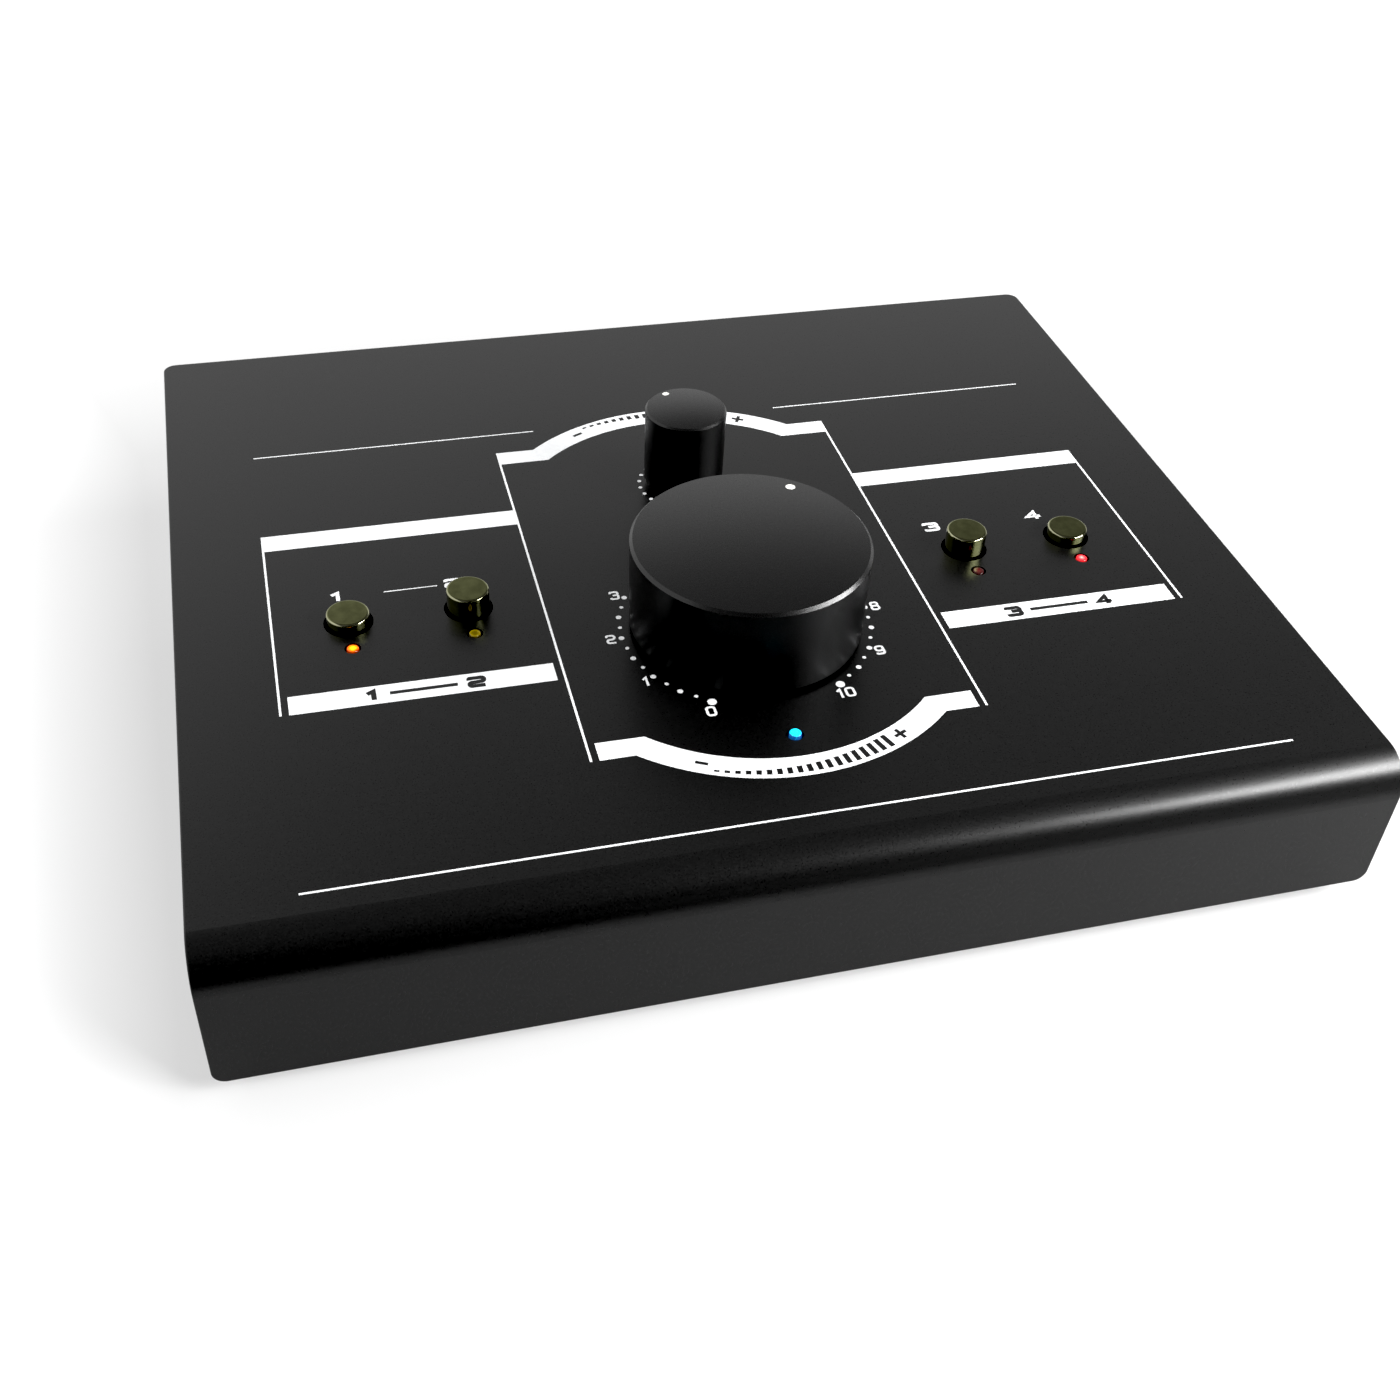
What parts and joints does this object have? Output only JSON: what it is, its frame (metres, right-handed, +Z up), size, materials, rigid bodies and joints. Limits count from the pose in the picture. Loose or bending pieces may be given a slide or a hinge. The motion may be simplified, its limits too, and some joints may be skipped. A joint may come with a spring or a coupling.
{
  "type": "studio monitor controller",
  "caption": "Desk-top studio monitor controller: sloping black case with a large volume knob on a dotted dial, a small headphone knob, round latching buttons and lamps.",
  "frame": {"origin": "bottom centre of the bounding box, on the table under the object", "axes": "+Z up, -Y out of the front, +X to the right as seen from the front"},
  "size_m": [0.276, 0.2338, 0.0931],
  "materials": {
    "cover_coat": "black powder coat, satin, fine grain, with white print",
    "case_coat": "black powder coat, satin",
    "zinc_steel": "zinc plated",
    "black_screw": "black oxide",
    "foot_rubber": "matte",
    "board": "solder-masked glass epoxy board",
    "black_plastic": "moulded, slight sheen",
    "ribbon": "flat grey PVC cable",
    "plated_shell": "nickel plated",
    "knob_black": "black anodised, bead blasted, bright chamfer",
    "inlay_white": "white filled dot",
    "pot_case": "plated can",
    "shaft_steel": "turned",
    "cap_metal": "smoked chrome, polished",
    "plunger_white": "moulded",
    "lamp_amber": "clear tinted lens",
    "lamp_red": "clear tinted lens",
    "lamp_blue": "clear tinted lens"
  },
  "bodies": {
    "chassis": {"active_led": "lamp_amber", "active_switch": "black_plastic", "base_tray": "case_coat", "connector_insulators": "black_plastic", "connector_screwlocks": "zinc_steel", "control_board": "board", "control_board_screws": "zinc_steel", "control_board_spacers": "zinc_steel", "control_header": "black_plastic", "cover_studs": "zinc_steel", "dc_inlet": "black_plastic", "dim_led": "lamp_red", "dim_switch": "black_plastic", "foot_screws": "black_screw", "headphone_jack": "black_plastic", "headphone_pot_body": "pot_case", "headphone_pot_nut": "zinc_steel", "headphone_pot_washer": "zinc_steel", "input_connector": "plated_shell", "jack_nuts": "plated_shell", "led_spacers": "black_plastic", "left_cover_rail": "zinc_steel", "line_jacks": "black_plastic", "main_board": "board", "main_board_screws": "zinc_steel", "main_board_spacers": "zinc_steel", "main_header": "black_plastic", "master_pot_body": "pot_case", "master_pot_nut": "zinc_steel", "master_pot_washer": "zinc_steel", "mute_led": "lamp_red", "mute_switch": "black_plastic", "output_connector": "plated_shell", "power_led": "lamp_blue", "rail_nuts": "zinc_steel", "rear_panel": "case_coat", "rear_panel_screws": "black_screw", "ribbon_cable": "ribbon", "right_cover_rail": "zinc_steel", "rubber_feet": "foot_rubber", "side_screws": "black_screw", "solo_led": "lamp_amber", "solo_switch": "black_plastic", "top_cover": "cover_coat"},
    "master_knob_group": {"master_pot_shaft": "shaft_steel", "master_knob": "knob_black", "master_knob_pointer": "inlay_white", "master_knob_screw": "black_screw"},
    "headphone_knob_group": {"headphone_pot_shaft": "shaft_steel", "headphone_knob": "knob_black", "headphone_knob_pointer": "inlay_white", "headphone_knob_screw": "black_screw"},
    "active_button": {"active_cap": "cap_metal", "active_plunger": "plunger_white"},
    "solo_button": {"solo_cap": "cap_metal", "solo_plunger": "plunger_white"},
    "mute_button": {"mute_cap": "cap_metal", "mute_plunger": "plunger_white"},
    "dim_button": {"dim_cap": "cap_metal", "dim_plunger": "plunger_white"}
  },
  "joints": [
    {"name": "master_volume", "type": "hinge", "parent": "chassis", "child": "master_knob_group", "pos_m": [0, -0.03588, 0.05658], "axis": [0, -0.1736, 0.9848], "range_deg": [-111.5, 188.5]},
    {"name": "headphone_level", "type": "hinge", "parent": "chassis", "child": "headphone_knob_group", "pos_m": [0, 0.02715, 0.06769], "axis": [0, -0.1736, 0.9848], "range_deg": [-174.5, 125.5]},
    {"name": "solo_press", "type": "slide", "parent": "chassis", "child": "solo_button", "axis": [0, 0.1736, -0.9848], "range_m": [0, 0.003], "stiffness_N_per_m": 500, "springref_m": -0.0015},
    {"name": "mute_press", "type": "slide", "parent": "chassis", "child": "mute_button", "axis": [0, 0.1736, -0.9848], "range_m": [0, 0.003], "stiffness_N_per_m": 500, "springref_m": -0.0015},
    {"name": "active_release", "type": "slide", "parent": "chassis", "child": "active_button", "axis": [0, -0.1736, 0.9848], "range_m": [0, 0.003]},
    {"name": "dim_release", "type": "slide", "parent": "chassis", "child": "dim_button", "axis": [0, -0.1736, 0.9848], "range_m": [0, 0.003]}
  ]
}
